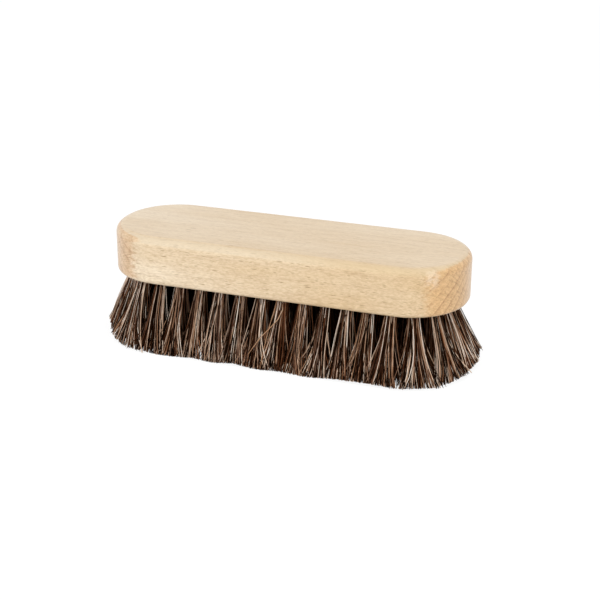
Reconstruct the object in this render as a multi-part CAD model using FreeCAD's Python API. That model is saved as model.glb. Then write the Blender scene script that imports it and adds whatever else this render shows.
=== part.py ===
import FreeCAD
import Part
import math
import os
from collections import namedtuple

# Shoe shine brush. A beech block carries horsehair tufts, each folded over a
# wire staple at the end of a blind drilled hole and trimmed level at the tips.
# Lengths are in mm and angles in degrees. The tips stand on z = 0, x runs along
# the brush, the front is at -y and the block is on top.

# Block
block_length = 150.0
block_width = 50.0
block_thickness = 20.0
end_flat = 1.6  # straight stretch in the middle of each rounded end
top_edge_radius = 3.5
bottom_edge_radius = 1.75

# Drilled holes: an outer ring, a middle ring and a centre row
hole_diameter = 5.0
hole_depth = 11.0
outer_inset = 6.0  # block outline to the outer ring's hole centres
outer_count = 36
middle_count = 28
centre_count = 12
outer_splay = 13.5  # lean of a ring's holes, which spreads its tufts outwards
middle_splay = 6.5

# Tufts
bristle_length = 26.5  # block underside to the trimmed tips
tuft_gap = 0.4  # between neighbours at the tips
hole_play = 0.05  # hair bundle to hole wall and hole end

# Staples, bent from square wire
wire_size = 0.7
staple_play = 0.1  # staple to hole wall
leg_play = 0.05  # folded hair to each staple leg
fold_height = 1.8  # hair between the staple and the end of the hole
leg_bite = 3.0  # staple legs in the wood past the end of the hole

corner_radius = (block_width - end_flat) / 2
middle_inset = (outer_inset + block_width / 2) / 2
row_spacing = middle_inset - outer_inset
hole_radius = hole_diameter / 2

# mouth: centre of the hole in the block's underside
# outward: level direction in which the hole leans, away from the brush's middle
Place = namedtuple("Place", "mouth outward splay")


def level(angle):
    turn = math.radians(angle)
    return FreeCAD.Vector(math.cos(turn), math.sin(turn), 0)


def tip_shift(splay):
    return bristle_length * math.tan(math.radians(splay))


def rounded_outline(inset):
    """Edges of the block's outline moved in by inset, from the front side round to the left end."""
    radius = corner_radius - inset
    side = block_length / 2 - corner_radius
    half_flat = end_flat / 2
    centres = [
        FreeCAD.Vector(x, y, bristle_length)
        for x, y in ((side, -half_flat), (side, half_flat), (-side, half_flat), (-side, -half_flat))
    ]
    edges = []
    for k, centre in enumerate(centres):
        start, middle, end = (centre + level(90 * k + turn) * radius for turn in (-90, -45, 0))
        last_end = centres[k - 1] + level(90 * k - 90) * radius
        edges.append(Part.LineSegment(last_end, start).toShape())
        edges.append(Part.Arc(start, middle, end).toShape())
    return edges


def ring_places(inset, count, splay):
    """Holes evenly spaced round a ring, with a gap in the middle of the front side."""
    edges = rounded_outline(inset)
    around = sum(edge.Length for edge in edges)
    places = []
    for i in range(count):
        run = (edges[0].Length / 2 + (i + 0.5) * around / count) % around
        k = 0
        while run > edges[k].Length:
            run -= edges[k].Length
            k += 1
        at = edges[k].getParameterByLength(run)
        along = edges[k].tangentAt(at)
        places.append(Place(edges[k].valueAt(at), FreeCAD.Vector(along.y, -along.x, 0), splay))
    return places


def centre_places():
    """Upright holes in a row that ends one row spacing short of the middle ring."""
    reach = block_length / 2 - middle_inset - row_spacing
    step = 2 * reach / (centre_count - 1)
    return [
        Place(FreeCAD.Vector(i * step - reach, 0, bristle_length), FreeCAD.Vector(0, -1, 0), 0)
        for i in range(centre_count)
    ]


def on_axis(place, height):
    """Point of the hole's axis at a height over the block's underside, or under it if negative."""
    lean = math.tan(math.radians(place.splay))
    return place.mouth - place.outward * (height * lean) + FreeCAD.Vector(0, 0, height)


def across(place):
    """Level direction along the row, towards the next tuft."""
    return FreeCAD.Vector(-place.outward.y, place.outward.x, 0)


def crossing(first, second):
    """Point where two sides of a section meet, each given as its outward normal and reach."""
    (a, p), (b, q) = first, second
    det = a.x * b.y - a.y * b.x
    return FreeCAD.Vector((p * b.y - q * a.y) / det, (q * a.x - p * b.x) / det, 0)


def section(normals, reaches, centre):
    """Corners of a level section with four sides and a slanting side across each corner."""
    sides = []
    for k, (normal, reach) in enumerate(zip(normals, reaches)):
        after = (k + 1) % len(normals)
        slant = (normal + normals[after]).normalize()
        sides += [(normal, reach), (slant, max(reach, reaches[after]))]
    return [centre + crossing(sides[k - 1], side) for k, side in enumerate(sides)]


def skin(sections):
    """Solid through level sections, with flat facets from one to the next."""
    loops = [sections[0], sections[-1]]
    for upper, lower in zip(sections, sections[1:]):
        for k in range(len(upper)):
            loops.append([upper[k - 1], upper[k], lower[k]])
            loops.append([upper[k - 1], lower[k], lower[k - 1]])
    faces = [Part.Face(Part.makePolygon(loop + loop[:1])) for loop in loops]
    return Part.Solid(Part.Shell(faces)).removeSplitter()


def hole_normals(place):
    row = across(place)
    return [place.outward, row, -place.outward, -row]


def hole(place):
    """Blind hole, given eight sides like the bundle in it, and started below the underside."""
    reaches = [hole_radius] * 4
    heights = (hole_depth, -hole_diameter)
    return skin([section(hole_normals(place), reaches, on_axis(place, h)) for h in heights])


def block(places):
    """Rounded block with its top and bottom edges eased, drilled from below."""
    outline = Part.Face(Part.Wire(rounded_outline(0)))
    solid = outline.extrude(FreeCAD.Vector(0, 0, block_thickness))
    rims = ((bristle_length + block_thickness, top_edge_radius), (bristle_length, bottom_edge_radius))
    for height, radius in rims:
        rim = [e for e in solid.Edges if all(abs(v.Z - height) < 1e-6 for v in e.Vertexes)]
        solid = solid.makeFillet(radius, rim)
    return solid.cut([hole(place) for place in places])


def staple(place):
    """Wire bent to a U: the crown holds the fold of the tuft, the legs bite into the wood."""
    row = across(place)
    through = (on_axis(place, hole_depth) - place.mouth).cross(row).normalize()
    reach = hole_radius - staple_play
    crown = hole_depth - fold_height - wire_size
    end = hole_depth + leg_bite
    right = [(reach, crown), (reach, end), (reach - wire_size, end), (reach - wire_size, crown + wire_size)]
    left = [(-u, h) for u, h in reversed(right)]
    corners = [on_axis(place, h) + row * u - through * (wire_size / 2) for u, h in right + left]
    return Part.Face(Part.makePolygon(corners + corners[:1])).extrude(through * wire_size)


def tuft(place, after, before, reach_out, reach_in):
    """Bundle from its fold over the staple to its trimmed tip, which spreads to meet its neighbours."""
    tip = on_axis(place, -bristle_length)
    to_after = on_axis(after, -bristle_length) - tip
    to_before = on_axis(before, -bristle_length) - tip
    tip_reaches = [reach_out, (to_after.Length - tuft_gap) / 2, reach_in, (to_before.Length - tuft_gap) / 2]
    tip_normals = [place.outward, to_after.normalize(), -place.outward, to_before.normalize()]

    # The bundle fills the hole at its mouth, and its fold narrows to pass between the staple's legs
    snug = hole_radius - hole_play
    fold_top = hole_depth - hole_play
    crown_share = (fold_height + wire_size - hole_play) / fold_top
    between_legs = hole_radius - staple_play - wire_size - leg_play
    narrow = (between_legs - snug * crown_share) / (1 - crown_share)

    sections = [
        section(hole_normals(place), [snug, narrow, snug, narrow], on_axis(place, fold_top)),
        section(hole_normals(place), [snug] * 4, place.mouth),
        section(tip_normals, tip_reaches, tip),
    ]
    return skin(sections).cut(staple(place))


def ring_tufts(places, reach_out, reach_in):
    """Pairs of a tuft and its place, in order round the ring."""
    return [
        (tuft(place, places[(i + 1) % len(places)], places[i - 1], reach_out, reach_in), place)
        for i, place in enumerate(places)
    ]


def row_tufts(places, reach):
    """The centre row's tufts in order. Each end one spreads as if the row went on."""
    step = places[1].mouth - places[0].mouth
    beyond = [places[0]._replace(mouth=places[0].mouth - step)]
    beyond += places + [places[-1]._replace(mouth=places[-1].mouth + step)]
    return [tuft(p, beyond[i + 2], beyond[i], reach, reach) for i, p in enumerate(places)]


def by_side(tufts):
    """Tufts of the front half and of the back half, each from left to right."""
    ordered = sorted(tufts, key=lambda item: item[1].mouth.x)
    front = [shape for shape, place in ordered if place.mouth.y < 0]
    back = [shape for shape, place in ordered if place.mouth.y > 0]
    return front, back


outer = ring_places(outer_inset, outer_count, outer_splay)
middle = ring_places(middle_inset, middle_count, middle_splay)
centre = centre_places()
all_places = outer + middle + centre

# Half the distance between neighbouring rows at the tips, less half the gap
outer_reach = (row_spacing + tip_shift(outer_splay) - tip_shift(middle_splay) - tuft_gap) / 2
inner_reach = (row_spacing + tip_shift(middle_splay) - tuft_gap) / 2

nodes = {"wood_block": [block(all_places)], "staples": [staple(place) for place in all_places]}
front, back = by_side(ring_tufts(outer, outer_reach, outer_reach))
for i, shape in enumerate(front):
    nodes[f"outer_front_tuft_{i + 1:02d}"] = [shape]
for i, shape in enumerate(back):
    nodes[f"outer_back_tuft_{i + 1:02d}"] = [shape]
front, back = by_side(ring_tufts(middle, outer_reach, inner_reach))
for i, pair in enumerate(zip(front, back)):
    nodes[f"middle_tuft_pair_{i + 1:02d}"] = list(pair)
row = row_tufts(centre, inner_reach)
for i in range(0, centre_count, 2):
    nodes[f"centre_tuft_pair_{i // 2 + 1:02d}"] = row[i : i + 2]

os.makedirs("parts", exist_ok=True)
for name, solids in nodes.items():
    shape = solids[0] if len(solids) == 1 else Part.makeCompound(solids)
    shape.exportStep(f"parts/{name}.step")
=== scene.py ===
import bpy
import math
import numpy as np
from mathutils import Matrix, Vector


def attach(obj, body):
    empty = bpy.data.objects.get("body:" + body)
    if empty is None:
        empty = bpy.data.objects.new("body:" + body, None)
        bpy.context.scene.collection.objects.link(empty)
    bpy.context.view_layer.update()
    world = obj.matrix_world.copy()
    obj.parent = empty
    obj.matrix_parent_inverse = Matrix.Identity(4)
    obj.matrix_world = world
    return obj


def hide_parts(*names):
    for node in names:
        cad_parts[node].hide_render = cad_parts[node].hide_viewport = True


# Shoe shine brush: the beech block comes from the CAD frame, the tufts are
# dressed with single hairs. Metres throughout, tips on z = 0, front at -y.

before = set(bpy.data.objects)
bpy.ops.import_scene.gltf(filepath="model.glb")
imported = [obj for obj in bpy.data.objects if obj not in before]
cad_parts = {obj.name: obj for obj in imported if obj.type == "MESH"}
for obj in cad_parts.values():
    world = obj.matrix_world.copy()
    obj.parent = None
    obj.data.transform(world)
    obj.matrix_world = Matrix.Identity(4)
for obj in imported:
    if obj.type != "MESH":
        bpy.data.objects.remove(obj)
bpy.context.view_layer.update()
print("frame loaded,", len(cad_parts), "nodes")


# a socket in a material, so that sums on it read like Python
class Wire:
    def __init__(self, tree, socket=None):
        self.tree = tree
        self.socket = socket

    # any node: its settings first, then values or links into its sockets
    def node(self, kind, settings=None, sockets=None, output=0):
        made = self.tree.nodes.new(kind)
        for name, value in (settings or {}).items():
            if name == "stops":
                ramp = made.color_ramp.elements
                while len(ramp) < len(value):
                    ramp.new(1.0)
                for stop, (at, colour) in zip(ramp, value):
                    stop.position = at
                    stop.color = (*colour, 1)
            else:
                setattr(made, name, value)
        for name, value in (sockets or {}).items():
            if isinstance(value, Wire):
                self.tree.links.new(value.socket, made.inputs[name])
            else:
                made.inputs[name].default_value = value
        return Wire(self.tree, made.outputs[output] if len(made.outputs) else None)

    def pick(self, output):
        return Wire(self.tree, self.socket.node.outputs[output])

    def sum(self, operation, first, second=0.0):
        return self.node("ShaderNodeMath", {"operation": operation}, {0: first, 1: second})

    def __add__(self, other):
        return self.sum("ADD", self, other)

    def __sub__(self, other):
        return self.sum("SUBTRACT", self, other)

    def __rsub__(self, other):
        return self.sum("SUBTRACT", other, self)

    def __mul__(self, other):
        return self.sum("MULTIPLY", self, other)

    def __truediv__(self, other):
        return self.sum("DIVIDE", self, other)

    def __pow__(self, other):
        return self.sum("POWER", self, other)

    __radd__ = __add__
    __rmul__ = __mul__

    def fade(self, low, high):
        return self.node(
            "ShaderNodeMapRange", {"interpolation_type": "SMOOTHSTEP"},
            {"Value": self, "From Min": low, "From Max": high})

    def blend(self, first, second, share, mode="MIX"):
        return self.node(
            "ShaderNodeMix", {"data_type": "RGBA", "blend_type": mode},
            {0: share, 6: first, 7: second}, output=2)

    def blendTo(self, colour, share, mode="MIX"):
        return self.blend(self, colour, share, mode)


def newMaterial(name):
    material = bpy.data.materials.new(name)
    material.use_nodes = True
    tree = material.node_tree
    tree.nodes.clear()
    return material, Wire(tree)


def closeMaterial(wire, sockets):
    shader = wire.node("ShaderNodeBsdfPrincipled", None, sockets)
    wire.node("ShaderNodeOutputMaterial", None, {"Surface": shader})


# colour as on screen, 0 to 255, turned into the shares of light that Blender works with
def screenColour(rgb):
    shares = ((c / 255 / 12.92) if c < 10.3 else ((c / 255 + 0.055) / 1.055) ** 2.4 for c in rgb)
    return (*shares, 1)


# rays that see the plain white background: the camera's own, and those mirrored or let through
def raysThatSee(wire):
    ray = wire.node("ShaderNodeLightPath", output="Is Camera Ray")
    seen = wire.sum("MAXIMUM", ray, ray.pick("Is Glossy Ray"))
    return wire.sum("MAXIMUM", seen, ray.pick("Is Transmission Ray"))


beech = {
    "pith": (0.067, -0.026),        # y and z of the tree's middle, far behind and below
    "ringSpacing": 0.0031,
    "ringWander": 0.0030,
    "warmRings": (0.1085, 0.1135),  # distance from the pith over which the wood turns warmer
    # noises in the wood: waves in a metre along, across and up, and how many octaves
    "grains": {
        "wander": ((9, 45, 45), 3.0),
        "sway": ((30, 60, 60), 2.0),
        "patches": ((14, 60, 60), 2.0),
        "streaks": ((110, 900, 900), 4.0),
        "fibre": ((90, 2600, 2600), 3.0),
        "pores": ((750, 2100, 2100), 2.0),
        "cornerGlint": ((300, 700, 700), 2.0),
    },
    "palePlank": (235, 219, 194),
    "warmPlank": (212, 183, 140),
    "warmShares": (0.3, 0.72, 0.4),   # from patches, from place along the block (on the sides a painted falloff of the light from the left) and from rings
    # that place's warmth on the top: at the left end, then its changes by the middle and the right
    "topWarmth": (0.48, 0.36, -0.28),
    "endGrain": ((217, 183, 144), (225, 185, 134)),   # on the left and on the right
    "endGrainShare": 0.85,
    "endReach": (1.1, 0.16),        # how much further it comes round the left edge, and less on the right
    "endRagged": 0.30,              # how far streaks shift its border
    "endBlur": 0.45,                # how much weaker it is on the left rounded edge
    "lateWood": (160, 108, 62),
    "lateBands": ((8.0, 0.7), (2.0, 0.3)),   # sharp and soft part of a ring's dark side
    "lateWoodShare": (0.17, 0.72),  # on the sides, and how much more on the ends
    "edges": ((210, 198, 176), (203, 180, 140)),   # painted shade on the rounded edges, dimming their highlight, on the left and on the right
    "edgesShare": 0.42,
    # painted highlight on the front right corner: its colour, place, reach and share
    "paintedGlint": (244, 232, 210),
    "cornerGlint": (0.0652, -0.0208, 0.0424),   # where the painted highlight sits, on the front right corner
    "cornerGlintReach": (0.001, 0.0052),
    "cornerGlintShare": 0.34,
    "ray": (132, 98, 46),
    "raySpread": 0.09,              # distance from the pith at which their widths are right
    "raySway": 0.0012,
    "flecks": (  # along the grain, round the ring, towards the bark, and how dark
        (0.0056, 0.00040, 0.0130, 0.78),
        (0.0034, 0.00030, 0.0080, 0.66),
    ),
    "fineRays": (60, 2300, 190),    # waves in a metre along, round and towards the bark
    "fineRayShare": 0.18,
    # what darkens the wood: tint and how strongly, streaks on the sides and how much more on the ends
    "pores": ((0.76, 0.70, 0.60, 1), 0.54),
    "fibre": ((0.62, 0.55, 0.46, 1), 0.18),
    "streaks": ((0.66, 0.56, 0.46, 1), (0.24, 0.28)),
    "topPaintedSheen": 0.50,              # painted sheen on the top: how much less of pores and fibre it shows
    "roughness": 0.42,
    "specular": 0.35,
    "lacquer": (0.5, 0.25),         # weight and roughness
    "sheen": (0.10, 0.30),
    "relief": (0.25, 0.00012),      # strength and depth of the bumps
}


def makeBeech():
    material, wire = newMaterial("beech")
    place = wire.node("ShaderNodeTexCoord", output="Object")
    along = wire.node("ShaderNodeSeparateXYZ", None, {0: place})
    across, up = along.pick("Y"), along.pick("Z")

    def grain(name):
        waves, octaves = beech["grains"][name]
        stretched = wire.node(
            "ShaderNodeVectorMath", {"operation": "MULTIPLY"}, {0: place, 1: waves})
        return wire.node(
            "ShaderNodeTexNoise", None,
            {"Vector": stretched, "Scale": 1.0, "Detail": octaves}, "Fac")

    # growth rings round the pith, which runs along the block
    fromPithY, fromPithZ = across - beech["pith"][0], up - beech["pith"][1]
    wander = grain("wander") - 0.5
    fromPith = wire.sum("SQRT", fromPithY * fromPithY + fromPithZ * fromPithZ)
    radial = fromPith + wander * beech["ringWander"]
    turn = radial / beech["ringSpacing"]
    ringNumber = wire.sum("FLOOR", turn)
    ringMood = wire.node("ShaderNodeTexWhiteNoise", {"noise_dimensions": "1D"}, {"W": ringNumber})
    season = turn - ringNumber
    (sharp, sharpShare), (softly, softShare) = beech["lateBands"]
    lateShare = (season ** sharp * sharpShare + season ** softly * softShare) * (0.3 + 0.7 * ringMood)

    # which faces show end grain, which one is the top, and the rounded edge between them
    facing = wire.node("ShaderNodeSeparateXYZ", None, {
        0: wire.node("ShaderNodeTexCoord", output="Normal")})
    streak = grain("streaks")
    upward = facing.pick("Z")
    topShare = upward.fade(0.30, 0.80)
    edgeShare = upward.fade(0.10, 0.40) * (1 - upward.fade(0.85, 0.995))
    lowEdge = edgeShare * (1 - upward.fade(0.60, 0.88))
    onRight = facing.fade(-0.2, 0.2)
    leftLowEdge = lowEdge * (1 - onRight)
    further, less = beech["endReach"]
    turned = wire.sum("ABSOLUTE", facing) * (1 + further * leftLowEdge) - less * onRight
    endShare = (turned + (streak - 0.5) * beech["endRagged"]).fade(0.24, 0.48)

    # rays: flat lenses of hard tissue, seen as dashes on the sides and lines on the ends
    sway = (grain("sway") - 0.5) * beech["raySway"]
    around = wire.sum("ARCTAN2", fromPithY, fromPithZ) * beech["raySpread"] + sway

    def rays(length, width, depth, darkness):
        cellPlace = wire.node("ShaderNodeCombineXYZ", None, {
            0: along / length, 1: around / width, 2: radial / depth})
        cell = wire.node("ShaderNodeTexVoronoi", None, {"Vector": cellPlace, "Scale": 1.0}, "Distance")
        mood = wire.node("ShaderNodeSeparateColor", None, {0: cell.pick("Color")})
        # fainter on the top: partly how the top cuts the rays, partly painted sheen
        onSides = mood * mood * (1 - 0.5 * topShare)
        onEnds = mood.fade(0.5, 0.9) * 0.6
        return (1 - cell.fade(0.15, 0.29)) * (onSides + endShare * (onEnds - onSides)) * darkness

    ray = rays(*beech["flecks"][0]) + rays(*beech["flecks"][1])
    wavesAlong, wavesAround, wavesOut = beech["fineRays"]
    fan = wire.node("ShaderNodeCombineXYZ", None, {
        0: along * wavesAlong, 1: around * wavesAround, 2: radial * wavesOut})
    fineRays = wire.node("ShaderNodeTexNoise", None, {"Vector": fan, "Scale": 1.0, "Detail": 1.0})

    # the sides turn warmer and darker to the right, a painted falloff of the light from the left; the top
    # has its own warmth, richest in the middle
    toRight = along.fade(-0.06, 0.06)
    onLeft, byMiddle, byRight = beech["topWarmth"]
    topWarmth = onLeft + byMiddle * along.fade(-0.075, -0.012) + byRight * along.fade(0.01, 0.06)
    warmthAndFalloff = toRight + (topWarmth - toRight) * topShare * 0.9
    byPatch, byPlace, byRing = beech["warmShares"]
    # warm share: patches, the painted falloff along the sides, and rings
    patches = (grain("patches").fade(0.3, 0.7) * byPatch + warmthAndFalloff * byPlace - 0.05
               + radial.fade(*beech["warmRings"]) * byRing * (1 - warmthAndFalloff))
    colour = wire.blend(screenColour(beech["palePlank"]), screenColour(beech["warmPlank"]), patches)

    # end grain, late wood and rays
    sideShare, endMore = beech["lateWoodShare"]
    clearEnd = endShare * (1 - beech["endBlur"] * leftLowEdge)
    endColour = wire.blend(*(screenColour(c) for c in beech["endGrain"]), onRight)
    colour = colour.blendTo(endColour, clearEnd * beech["endGrainShare"])
    late = lateShare * (sideShare + endMore * clearEnd)
    colour = colour.blendTo(screenColour(beech["lateWood"]), late)
    colour = colour.blendTo(screenColour(beech["ray"]), ray)
    lines = fineRays.fade(0.48, 0.70) * endShare * beech["fineRayShare"]
    colour = colour.blendTo(screenColour(beech["ray"]), lines)

    # pores and fibre, weaker on the top under painted sheen, and streaks
    fibre, pores = grain("fibre"), grain("pores")
    paintedSheenFade = 1 - beech["topPaintedSheen"] * topShare
    tint, strength = beech["pores"]
    colour = colour.blendTo(tint, pores.fade(0.36, 0.66) * paintedSheenFade * strength, "MULTIPLY")
    tint, strength = beech["fibre"]
    colour = colour.blendTo(tint, fibre.fade(0.35, 0.75) * paintedSheenFade * strength, "MULTIPLY")
    tint, (sideShare, endMore) = beech["streaks"]
    colour = colour.blendTo(tint, streak.fade(0.42, 0.72) * (sideShare + endMore * endShare), "MULTIPLY")

    # painted shade on the rounded edge that dims its highlight, and a painted highlight on its front
    # right corner
    edgeShadeColour = wire.blend(*(screenColour(c) for c in beech["edges"]), along.fade(-0.02, 0.055))
    colour = colour.blendTo(edgeShadeColour, edgeShare * (1 - endShare) * beech["edgesShare"])
    fromGlint = wire.node(
        "ShaderNodeVectorMath", {"operation": "DISTANCE"}, {0: place, 1: beech["cornerGlint"]}, "Value")
    paintedGlint = (1 - fromGlint.fade(*beech["cornerGlintReach"])) * grain("cornerGlint").fade(0.35, 0.6)
    colour = colour.blendTo(screenColour(beech["paintedGlint"]), paintedGlint * beech["cornerGlintShare"])

    height = fibre * 0.4 + pores * 0.4 + (1 - ray) * 0.5 - lateShare * 0.2
    bump = wire.node("ShaderNodeBump", None, {
        "Strength": beech["relief"][0], "Distance": beech["relief"][1], "Height": height})
    closeMaterial(wire, {
        "Base Color": colour,
        "Roughness": beech["roughness"] + (fibre - 0.5) * 0.16 + ray * 0.1,
        "Normal": bump,
        "Specular IOR Level": beech["specular"],
        "Coat Weight": beech["lacquer"][0],
        "Coat Roughness": beech["lacquer"][1],
        "Sheen Weight": beech["sheen"][0],
        "Sheen Roughness": beech["sheen"][1]})
    return material


stapleWire = {
    "steel": (0.52, 0.51, 0.50, 1),
    "drawn": (0.3744, 0.3672, 0.36, 1),   # darker lines from the drawing die
    "dieLines": (9000, 9000, 500),   # waves in a metre along x, y and z
    "roughness": 0.38,
}


def makeStapleWire():
    material, wire = newMaterial("stapleWire")
    place = wire.node("ShaderNodeTexCoord", output="Object")
    stretched = wire.node(
        "ShaderNodeVectorMath", {"operation": "MULTIPLY"}, {0: place, 1: stapleWire["dieLines"]})
    drawn = wire.node("ShaderNodeTexNoise", None, {"Vector": stretched, "Scale": 1.0, "Detail": 2.0})
    closeMaterial(wire, {
        "Base Color": wire.blend(stapleWire["steel"], stapleWire["drawn"], drawn.fade(0.3, 0.7)),
        "Metallic": 1.0,
        "Roughness": stapleWire["roughness"] + (drawn - 0.5) * 0.2})
    return material


horsehair = {
    # tone from dark to pale at which each colour stands; the palest stand for real pale hairs and also
    # for painted glints on dark hairs
    "ashBrown": (
        (0.00, (0.0042, 0.0018, 0.0008)),
        (0.24, (0.0120, 0.0047, 0.0015)),
        (0.42, (0.049, 0.0219, 0.0106)),
        (0.58, (0.135, 0.078, 0.054)),
        (0.72, (0.310, 0.200, 0.140)),
        (0.84, (0.500, 0.350, 0.255)),
        (0.92, (0.700, 0.540, 0.420)),
        (1.00, (0.950, 0.840, 0.730)),
    ),
    "chestnut": (
        (0.00, (0.0046, 0.0016, 0.0005)),
        (0.24, (0.0138, 0.0044, 0.0010)),
        (0.42, (0.058, 0.0174, 0.0061)),
        (0.58, (0.168, 0.060, 0.025)),
        (0.72, (0.365, 0.170, 0.082)),
        (0.84, (0.550, 0.325, 0.190)),
        (0.92, (0.730, 0.530, 0.385)),
        (1.00, (0.950, 0.820, 0.700)),
    ),
    "mottle": (300.0, 0.22),   # waves in a metre, and how far they shift the tone
    "tipShade": 0.06,         # painted shade: how much darker a hair is at its tip than at its root
    "roughness": 0.36,
    "specular": 0.012,
}


def makeHorsehair():
    material, wire = newMaterial("horsehair")
    tone, along, warmth = (
        wire.node("ShaderNodeAttribute", {"attribute_name": name}, output="Fac")
        for name in ("hairTone", "hairAlong", "hairWarmth"))
    place = wire.node("ShaderNodeTexCoord", output="Object")
    waves, shift = horsehair["mottle"]
    mottle = wire.node("ShaderNodeTexNoise", None, {"Vector": place, "Scale": waves, "Detail": 2.0})
    # its tone, its mottle, and painted shade that darkens the tip
    mixed = tone + (mottle - 0.5) * shift + (0.5 - along) * horsehair["tipShade"]
    ash, chestnut = (
        wire.node("ShaderNodeValToRGB", {"stops": horsehair[name]}, {0: mixed})
        for name in ("ashBrown", "chestnut"))
    colour = ash.blendTo(chestnut, warmth)
    closeMaterial(wire, {
        "Base Color": colour,
        "Roughness": horsehair["roughness"],
        "Specular IOR Level": horsehair["specular"]})
    return material


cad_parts["wood_block"].data.materials.clear()
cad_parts["wood_block"].data.materials.append(makeBeech())
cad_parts["staples"].data.materials.clear()
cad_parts["staples"].data.materials.append(makeStapleWire())
print("beech and staple wire finished")


brush = {
    "underside": 0.0265,
    "halfSide": 0.0508,      # half the straight part of a ring's long side
    "halfEndFlat": 0.0008,
    "cornerRadius": 0.0242,
    "outerInset": 0.006,
    "middleInset": 0.0155,
    "outerCount": 36,
    "middleCount": 28,
    "centreCount": 12,
    "centreReach": 0.050,
    "outerSplay": 13.5,
    "middleSplay": 6.5,
}


# mouths of a ring's holes, each with the direction its hole leans
def ringPlaces(inset, count):
    radius = brush["cornerRadius"] - inset
    lengths = (2 * brush["halfSide"], 2 * brush["halfEndFlat"])
    quarter = radius * math.pi / 2
    around = 2 * sum(lengths) + 4 * quarter
    places = []
    for i in range(count):
        run = (brush["halfSide"] + (i + 0.5) * around / count) % around
        corner = 0
        while run > lengths[corner % 2] + quarter:
            run -= lengths[corner % 2] + quarter
            corner += 1
        straight = lengths[corner % 2]
        lean = math.pi / 2 * (corner - 1) + max(0, run - straight) / radius
        outward = np.array((math.cos(lean), math.sin(lean)))
        tangent = np.array((-outward[1], outward[0]))
        centre = np.array((
            brush["halfSide"] * (1 if corner < 2 else -1),
            brush["halfEndFlat"] * (1 if corner in (1, 2) else -1)))
        places.append((centre + outward * radius - tangent * max(0, straight - run), outward))
    return places


# every tuft: mouth, lean, tip centre, how far its tips spread (out, in, along the row)
# and how fast its share of the row widens outwards, round the ends
def tuftLayout():
    shift = {
        key: brush["underside"] * math.tan(math.radians(brush[key]))
        for key in ("outerSplay", "middleSplay")}
    outer = ringPlaces(brush["outerInset"], brush["outerCount"])
    middle = ringPlaces(brush["middleInset"], brush["middleCount"])
    rowGap = brush["middleInset"] - brush["outerInset"]
    outReach = (rowGap + shift["outerSplay"] - shift["middleSplay"]) / 2
    inReach = (rowGap + shift["middleSplay"]) / 2
    named = {}
    for ring, key, reachIn in ((outer, "outerSplay", outReach), (middle, "middleSplay", inReach)):
        tips = [mouth + outward * shift[key] for mouth, outward in ring]
        tufts = []
        for i, (mouth, outward) in enumerate(ring):
            after = (i + 1) % len(ring)
            between = np.linalg.norm(tips[after] - tips[i - 1])
            widening = np.linalg.norm(ring[after][1] - ring[i - 1][1]) / between
            tufts.append((mouth, outward, tips[i], outReach, reachIn, between / 4, widening))
        tufts.sort(key=lambda tuft: tuft[0][0])
        front = [tuft for tuft in tufts if tuft[0][1] < 0]
        back = [tuft for tuft in tufts if tuft[0][1] > 0]
        for i, (near, far) in enumerate(zip(front, back)):
            if key == "outerSplay":
                named[f"outer_front_tuft_{i + 1:02d}"] = [near]
                named[f"outer_back_tuft_{i + 1:02d}"] = [far]
            else:
                named[f"middle_tuft_pair_{i + 1:02d}"] = [near, far]
    step = 2 * brush["centreReach"] / (brush["centreCount"] - 1)
    row = []
    for i in range(brush["centreCount"]):
        mouth = np.array((i * step - brush["centreReach"], 0.0))
        row.append((mouth, np.array((0.0, -1.0)), mouth, inReach, inReach, step / 2, 0.0))
    for i in range(0, len(row), 2):
        named[f"centre_tuft_pair_{i // 2 + 1:02d}"] = row[i:i + 2]
    return named


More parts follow.
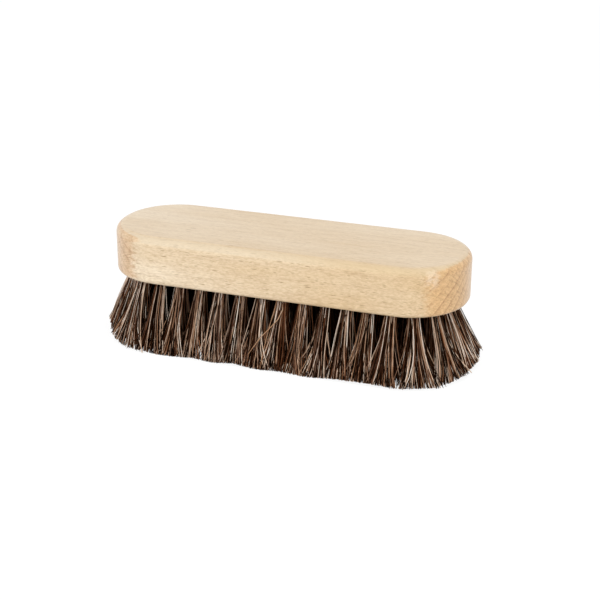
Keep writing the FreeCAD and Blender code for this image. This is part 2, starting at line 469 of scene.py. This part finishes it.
hair = {
    "seed": 202,
    "sides": 3,
    "rings": 7,
    "ringCrowding": 0.9,      # under 1, rings sit closer together towards the tip
    "radius": 0.000166,
    "thickness": (0.75, 1.2),   # thinnest and thickest hair, as a share of that
    "paleCoarse": 0.22,       # how much thicker the palest hairs are
    "paleTones": (0.7, 0.95),   # tones from which hairs get thicker, and by which they are thickest
    "tipTaper": 0.9,
    "inHole": 0.0016,         # how far a hair is followed up into its hole
    "bundle": 0.00225,        # radius of the bundle at the mouth
    "bundleFill": 0.97,       # share of it that the roots cover
    "rootTurn": 2.39996,      # turn from one root to the next, which spreads them evenly
    "counts": {"outer": 470, "middle": 320, "centre": 260},
    "scatter": (0.03, 0.0014),  # at the root, as a share of the bundle, and at the tip
    "tipScatter": (0.55, 1.1),  # share of the tip's, outwards and along the row
    "skirt": 0.18,            # share of hairs that stand along the tuft's outer side
    "skirtSide": 0.96,        # how far round the bundle their roots stand
    "skirtReach": 1.15,       # and how far along the row their tips do
    # share of hairs that go their own way, how much further, and how much more bent
    "loose": (0.22, 3.0, 1.7),
    # shares of the hairs, and the tones that they run up to
    "mix": ((0, 0.48, 0.765, 0.91, 1), (0, 0.30, 0.67, 0.88, 1)),
    "squareness": (0.75, 1.0),  # how the tips fill their square: under 1, towards its sides
    "fill": (1.12, 1.0),        # and past them, outwards and along the row
    "rowOverlap": 1.30,       # how far the tips mix with the next tufts
    "inwards": 1.15,          # furthest that they reach inwards, as a share of their room
    "flare": 0.0018,          # how far the outer tips stand out past the bundle
    "outline": 0.00016,       # how uneven the outermost tips are
    "fanOut": (0.95, 1.35),   # how early or late a hair spreads on its way down, outwards
    "fanRow": (1.70, 2.70),   # and along the row
    "wave": 0.00033,
    "waveSize": (0.4, 1.4),   # smallest and largest wave, as a share of that
    "waveTurn": 5.2,          # how far the wave turns on its way down
    "bow": 0.00045,
    "trim": 0.00012,          # unevenness of the trimmed tips
    # and its slow waves along the brush
    "trimWave": (
        (-0.052, 0.0005), (-0.047, 0.0), (-0.039, 0.0), (-0.030, 0.0006),
        (-0.021, 0.0), (-0.012, 0.0009), (-0.003, 0.0), (0.008, 0.0005),
        (0.020, 0.0), (0.031, 0.0008), (0.044, 0.0010), (0.055, 0.0007)),
    # tips are trimmed higher at the left and right ends: by how much, from where to where
    "endRise": ((0.0046, 0.060, 0.0812), (0.0014, 0.072, 0.0825)),
    "endPull": (0.40, 0.325),     # and spread less
    "endRoot": (0.0021, 0.0030),  # and leave their holes further in
    "endFan": (0.35, 0.55),       # and spread later
    "lift": 0.00006,          # lowest tips over the floor
    "strays": 0.012,          # share of hairs that are pale and lie across the others
    "strayLean": (0.002, 0.006),
    "strayTone": (0.72, 0.97),
    # one long one in front, from its hole across three tufts: its tuft, tone and path
    "crossing": ("outer_front_tuft_10", 0.84, (
        (0.0045, -0.0205, 0.0265), (0.0060, -0.0246, 0.0214), (0.0023, -0.0272, 0.0168),
        (-0.0018, -0.0295, 0.0121), (-0.0061, -0.0320, 0.0052))),
    "tuftTone": 0.020,        # how much one tuft is paler than the next
    "endTone": (0.36, 0.08),  # and the ends than the sides
    "warmth": (0.36, 0.74, 0.42),  # least and most in a tuft, and spread from hair to hair
    "endWarmth": 0.38,
    "tuftSway": 0.0009,       # how far a tuft leans along its row
    "innerShade": {"outer": 0.0, "middle": 0.52, "centre": 0.52},   # painted shade on the inner tufts, darkest at their roots
    "shadeFade": 0.7,         # under 1, that shade reaches further down
}


# one straight strand, one unit long, that every hair is a bent copy of
def modelStrand():
    bpy.ops.object.select_all(action="DESELECT")
    bpy.ops.mesh.primitive_circle_add(vertices=hair["sides"], radius=1.0, fill_type="NGON")
    strand = bpy.context.object
    strand.name = "strand"
    bpy.ops.object.mode_set(mode="EDIT")
    bpy.ops.mesh.select_all(action="SELECT")
    for _ in range(hair["rings"] - 1):
        bpy.ops.mesh.extrude_region_move(
            TRANSFORM_OT_translate={"value": (0, 0, 1 / (hair["rings"] - 1))})
    bpy.ops.transform.resize(value=(hair["tipTaper"], hair["tipTaper"], 1))
    bpy.ops.mesh.select_all(action="SELECT")
    bpy.ops.mesh.normals_make_consistent(inside=False)
    bpy.ops.object.mode_set(mode="OBJECT")
    return strand


# strand's own map: its sides as a strip, its two ends in the margins
stripMap = {
    "from": 0.12,
    "length": 0.76,
    "sideWidth": 0.84,        # of the share that each side gets
    "ends": (0.05, 0.95),     # middles of the two ends
    "endSize": (0.4, 0.03),
    "margin": 0.06,           # round each hair's cell
}


def strandMap(mesh):
    corners = []
    for face in mesh.polygons:
        points = [mesh.vertices[v].co for v in face.vertices]
        middle = sum(points, Vector()) / len(points)
        tall = max(p.z for p in points) - min(p.z for p in points)
        if len(points) == hair["sides"] and tall < 1e-4:
            centre = stripMap["ends"][int(middle.z > 0.5)]
            wide, high = stripMap["endSize"]
            size = max(p.xy.length for p in points)
            corners += [(0.5 + wide * p.x / size, centre + high * p.y / size) for p in points]
            continue
        facing = math.atan2(middle.y, middle.x)
        side = round((facing % (2 * math.pi)) / (2 * math.pi) * hair["sides"] - 0.5) % hair["sides"]
        for p in points:
            off = (math.atan2(p.y, p.x) - facing + math.pi) % (2 * math.pi) - math.pi
            sideways = side + 0.5 + math.copysign(stripMap["sideWidth"] / 2, off)
            corners.append((sideways / hair["sides"], stripMap["from"] + stripMap["length"] * p.z))
    return np.array(corners)


wholeTurn = 6.28


# centre lines of a tuft's hairs, from inside the hole down to the trimmed tips
def combTuft(tuft, count, rng):
    mouth, outward, tip, reachOut, reachIn, reachRow, widening = tuft
    tangent = np.array((-outward[1], outward[0]))
    end = int(outward[0] > 0)
    endShare, sideShare = outward[0] ** 2, outward[1] ** 4
    reachOut = (reachOut + hair["flare"]) * (1 - hair["endPull"][end] * endShare)
    sway = rng.normal(0, hair["tuftSway"]) * sideShare
    tuftTone = rng.normal(0, hair["tuftTone"]) + hair["endTone"][end] * endShare
    tuftWarmth = rng.uniform(*hair["warmth"][:2]) + hair["endWarmth"] * endShare

    # roots spread evenly over the bundle, the skirt's and the strays' on its outer side
    looseShare, looseSpread, looseBow = hair["loose"]
    skirt, stray, loose = (
        rng.uniform(0, 1, count) < share for share in (hair["skirt"], hair["strays"], looseShare))
    freedom = np.where(loose, looseSpread, 1.0)[:, None]
    turn = np.arange(count) * hair["rootTurn"] + rng.uniform(0, wholeTurn)
    fromMiddle = np.sqrt((np.arange(count) + 0.5) / count)
    disc = fromMiddle[:, None] * np.stack((np.cos(turn), np.sin(turn)), 1)
    disc = disc * hair["bundleFill"] + rng.normal(0, hair["scatter"][0], (count, 2)) * freedom
    side = rng.uniform(-hair["skirtSide"], hair["skirtSide"], count)
    rim = np.stack((np.sqrt(1 - side ** 2), side), 1)
    disc = np.where((skirt | stray)[:, None], rim, disc)
    disc /= np.maximum(np.linalg.norm(disc, axis=1), 1)[:, None]

    # the round bundle fills its squarish share of the brush's face
    reach = np.where(disc[:, 0] > 0, reachOut, reachIn)
    widest = np.maximum(np.abs(disc).max(1), 1e-6)
    squared = disc / widest[:, None] * np.linalg.norm(disc, axis=1)[:, None]
    filled = np.sign(squared) * np.abs(squared) ** hair["squareness"] * hair["fill"]
    spread = np.stack((filled[:, 0] * reach, filled[:, 1] * reachRow * hair["rowOverlap"]), 1)
    spread += rng.normal(0, hair["scatter"][1], (count, 2)) * hair["tipScatter"]
    spread[:, 0] = np.where(skirt, reachOut, spread[:, 0])
    spread[:, 1] = np.where(skirt, side * reachRow * hair["skirtReach"], spread[:, 1])
    across = rng.choice((-1, 1), count) * rng.uniform(*hair["strayLean"], count)
    spread[:, 1] += stray * across * sideShare + sway
    outermost = reachOut - np.abs(rng.normal(0, hair["outline"], count))
    spread[:, 0] = np.clip(spread[:, 0], -hair["inwards"] * reachIn, outermost)
    spread[:, 1] *= 1 + spread[:, 0] * widening

    tips = tip + spread[:, :1] * outward + spread[:, 1:] * tangent
    rise, riseFrom, riseTo = hair["endRise"][end]
    ends = np.clip((np.abs(tips[:, 0]) - riseFrom) / (riseTo - riseFrom), 0, 1)
    trim = hair["lift"] + np.abs(rng.normal(0, hair["trim"], count))
    trim += rise * ends * ends * (3 - 2 * ends)
    trim += np.interp(tips[:, 0], *np.transpose(hair["trimWave"]))

    top = brush["underside"] + hair["inHole"]
    share = np.linspace(0, 1, hair["rings"]) ** hair["ringCrowding"]
    z = top + share[None, :] * (trim - top)[:, None]
    down = np.maximum(brush["underside"] - z, 0) / brush["underside"]
    fan = np.stack((rng.uniform(*hair["fanOut"], count), rng.uniform(*hair["fanRow"], count)), 1)
    fan[:, 0] *= 1 + hair["endFan"][end] * endShare
    fanned = down[..., None] ** fan[:, None, :]
    root = disc * hair["bundle"] - (hair["endRoot"][end] * endShare, 0)
    off = root[:, None, :] * (1 - fanned) + spread[:, None, :] * fanned
    phase = rng.uniform(0, wholeTurn, (count, 1, 2))
    swing = hair["wave"] * rng.uniform(*hair["waveSize"], (count, 1, 1))
    off += np.sin(phase + down[..., None] * hair["waveTurn"]) * swing * down[..., None]
    bow = rng.normal(0, hair["bow"], (count, 2)) * np.where(loose, looseBow, 1.0)[:, None]
    off += bow[:, None, :] * (4 * down * (1 - down))[..., None]
    lean = ((brush["underside"] - z) / brush["underside"])[..., None] * (tip - mouth)
    flat = mouth + lean + off[..., :1] * outward + off[..., 1:] * tangent
    lines = np.concatenate((flat, z[..., None]), 2)

    # the skirt and the rest each hold the whole mix
    rank = np.empty(count)
    for group in (skirt, ~skirt):
        rank[group] = (rng.permutation(group.sum()) + 0.5) / group.sum()
    tone = np.where(stray, rng.uniform(*hair["strayTone"], count), np.interp(rank, *hair["mix"]))
    warmth = tuftWarmth + rng.normal(0, hair["warmth"][2], count)
    return lines, np.clip(tone + tuftTone, 0, 1), np.clip(warmth, 0, 1)


# centre line of the hair that lies across
def crossingLine(path):
    path = np.array(path)
    run = np.concatenate(((0,), np.cumsum(np.linalg.norm(np.diff(path, axis=0), axis=1))))
    at = np.linspace(0, run[-1], hair["rings"])
    return np.stack([np.interp(at, run, path[:, k]) for k in range(3)], 1)


# bends a copy of the strand along each line and gives it its own cell of the bake map
def hairMesh(name, strand, corners, lines, tones, warmth, radii, shade):
    count = len(lines)
    base = np.array([v.co for v in strand.vertices])
    ring = np.rint(base[:, 2] * (hair["rings"] - 1)).astype(int)
    heading = np.gradient(lines, axis=1)
    heading /= np.linalg.norm(heading, axis=2, keepdims=True)
    sideways = np.cross(heading, (0.0, 1.0, 0.0))
    sideways /= np.linalg.norm(sideways, axis=2, keepdims=True)
    other = np.cross(heading, sideways)
    points = lines[:, ring] + radii[:, None, None] * (
        base[None, :, :1] * sideways[:, ring] + base[None, :, 1:2] * other[:, ring])

    faces = [list(face.vertices) for face in strand.polygons]
    sizes = np.array([len(face) for face in faces])
    loops = np.concatenate(faces)
    allLoops = (loops[None, :] + np.arange(count)[:, None] * len(base)).ravel()
    allSizes = np.tile(sizes, count)

    mesh = bpy.data.meshes.new(name)
    mesh.vertices.add(count * len(base))
    mesh.vertices.foreach_set("co", points.astype(np.float32).ravel())
    mesh.loops.add(len(allLoops))
    mesh.loops.foreach_set("vertex_index", allLoops.astype(np.int32))
    mesh.polygons.add(len(allSizes))
    mesh.polygons.foreach_set("loop_start", (np.cumsum(allSizes) - allSizes).astype(np.int32))
    mesh.update(calc_edges=True)
    mesh.polygons.foreach_set("use_smooth", np.ones(len(allSizes), dtype=bool))

    columns = math.ceil(math.sqrt(count))
    rows = math.ceil(count / columns)
    cell = np.stack((np.arange(count) % columns, np.arange(count) // columns), 1)
    margin = stripMap["margin"]
    spots = (cell[:, None, :] + margin + (1 - 2 * margin) * corners[None]) / (columns, rows)
    mesh.uv_layers.new(name="OFBake").data.foreach_set("uv", spots.astype(np.float32).ravel())

    # painted shade on the inner tufts, darkest at the root, taken off the tone
    shaded = tones[:, None] - shade * (1 - base[None, :, 2]) ** hair["shadeFade"]
    for label, values in (
            ("hairTone", shaded.ravel()),
            ("hairWarmth", np.repeat(warmth, len(base))),
            ("hairAlong", np.tile(base[:, 2], count))):
        mesh.attributes.new(label, "FLOAT", "POINT").data.foreach_set("value", values.astype(np.float32))
    mesh.validate()
    return mesh


strand = modelStrand()
corners = strandMap(strand.data)
horsehairMaterial = makeHorsehair()
crossingTuft, crossingTone, crossingPath = hair["crossing"]
paleFrom, paleTo = hair["paleTones"]
hairCount = 0
for number, (node, tufts) in enumerate(tuftLayout().items()):
    rng = np.random.default_rng(hair["seed"] + number)
    ring = node.split("_")[0]
    combed = [combTuft(tuft, hair["counts"][ring], rng) for tuft in tufts]
    if node == crossingTuft:
        combed.append((crossingLine(crossingPath)[None], np.array([crossingTone]), np.ones(1)))
    lines, tones, warmth = (np.concatenate([c[k] for c in combed]) for k in range(3))
    radii = hair["radius"] * rng.uniform(*hair["thickness"], len(lines))
    radii *= 1 + hair["paleCoarse"] * np.clip((tones - paleFrom) / (paleTo - paleFrom), 0, 1)
    name = node.replace("tuft", "hair")
    mesh = hairMesh(name, strand.data, corners, lines, tones, warmth, radii, hair["innerShade"][ring])
    piece = bpy.data.objects.new(name, mesh)
    bpy.context.scene.collection.objects.link(piece)
    piece.data.materials.append(horsehairMaterial)
    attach(piece, "root")
    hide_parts(node)
    hairCount += len(lines)
bpy.data.objects.remove(strand)
print("tufts combed,", hairCount, "hairs")


floorLook = {
    "size": 6.0,
    "pale": (0.80, 0.80, 0.80, 1),
    "white": 1.10,            # strength of the white that the camera sees
    "shadow": 0.20,           # share of the pale floor, with its shadow, that shows through
}


# pale floor that shows as white and keeps a soft shadow of the brush
def makeFloor():
    bpy.ops.object.select_all(action="DESELECT")
    bpy.ops.mesh.primitive_circle_add(vertices=64, radius=floorLook["size"] / 2, fill_type="NGON")
    floor = bpy.context.object
    floor.name = "floor"
    material, wire = newMaterial("paleFloor")
    matte = wire.node("ShaderNodeBsdfDiffuse", None, {"Color": floorLook["pale"]})
    white = wire.node("ShaderNodeEmission", None, {
        "Color": (1, 1, 1, 1), "Strength": floorLook["white"]})
    shown = wire.node("ShaderNodeMixShader", None, {
        0: raysThatSee(wire) * (1 - floorLook["shadow"]), 1: matte, 2: white})
    wire.node("ShaderNodeOutputMaterial", None, {"Surface": shown})
    floor.data.materials.append(material)


studio = {
    "surround": 0.50,         # light from all round, while it shows as white
    "lamps": [  # name, place, size, watts
        ("key", (-0.28, -1.05, 0.62), 1.40, 10.3),
        ("fill", (0.95, -0.55, 0.42), 1.10, 4.4),
        ("back", (0.10, 0.95, 0.80), 1.40, 2.7),
        ("rim", (-1.00, 0.25, 0.36), 0.80, 2.2),
        ("top", (0.42, -0.10, 0.92), 0.45, 1.4),
    ],
    "aim": (0.0, 0.0, 0.03),
}


def makeStudio():
    world = bpy.data.worlds.new("studio")
    bpy.context.scene.world = world
    world.use_nodes = True
    world.node_tree.nodes.clear()
    wire = Wire(world.node_tree)
    white = studio["surround"] + (1 - studio["surround"]) * raysThatSee(wire)
    glow = wire.node("ShaderNodeBackground", None, {"Color": (1, 1, 1, 1), "Strength": white})
    wire.node("ShaderNodeOutputWorld", None, {"Surface": glow})
    for name, place, size, watts in studio["lamps"]:
        lamp = bpy.data.lights.new(name, "AREA")
        lamp.shape = "SQUARE"
        lamp.size = size
        lamp.energy = watts
        holder = bpy.data.objects.new(name, lamp)
        holder.location = place
        holder.visible_glossy = False   # the lacquer would mirror it as a white patch
        aim = Vector(studio["aim"]) - Vector(place)
        holder.rotation_euler = aim.to_track_quat("-Z", "Y").to_euler()
        bpy.context.scene.collection.objects.link(holder)


view = {
    "lens": 80.0,
    "sensor": 36.0,
    "azimuth": 19.903,
    "elevation": 19.768,
    "roll": 0.143,
    "pan": -0.453,
    "tilt": 1.843,
    "distance": 0.5455,
    "target": (0.0, 0.0, 0.0365),
}


def makeCamera():
    az, el, roll, pan, tilt = (
        math.radians(view[k]) for k in ("azimuth", "elevation", "roll", "pan", "tilt"))
    back = Vector((math.sin(az) * math.cos(el), -math.cos(az) * math.cos(el), math.sin(el)))
    right = Vector((math.cos(az), math.sin(az), 0))
    up = back.cross(right)
    place = Vector(view["target"]) + back * view["distance"]
    panBack = math.cos(pan) * back + math.sin(pan) * right
    panRight = math.cos(pan) * right - math.sin(pan) * back
    tiltBack = math.cos(tilt) * panBack + math.sin(tilt) * up
    tiltUp = math.cos(tilt) * up - math.sin(tilt) * panBack
    rollRight = math.cos(roll) * panRight + math.sin(roll) * tiltUp
    rollUp = math.cos(roll) * tiltUp - math.sin(roll) * panRight
    camera = bpy.data.objects.new("camera", bpy.data.cameras.new("camera"))
    camera.data.lens = view["lens"]
    camera.data.sensor_width = view["sensor"]
    camera.data.clip_start = 0.01
    turned = Matrix((rollRight, rollUp, tiltBack)).transposed().to_4x4()
    camera.matrix_world = Matrix.Translation(place) @ turned
    bpy.context.scene.collection.objects.link(camera)
    bpy.context.scene.camera = camera


makeFloor()
makeStudio()
makeCamera()
bpy.context.scene.view_settings.view_transform = "Standard"
print("floor, lamps and camera in place")
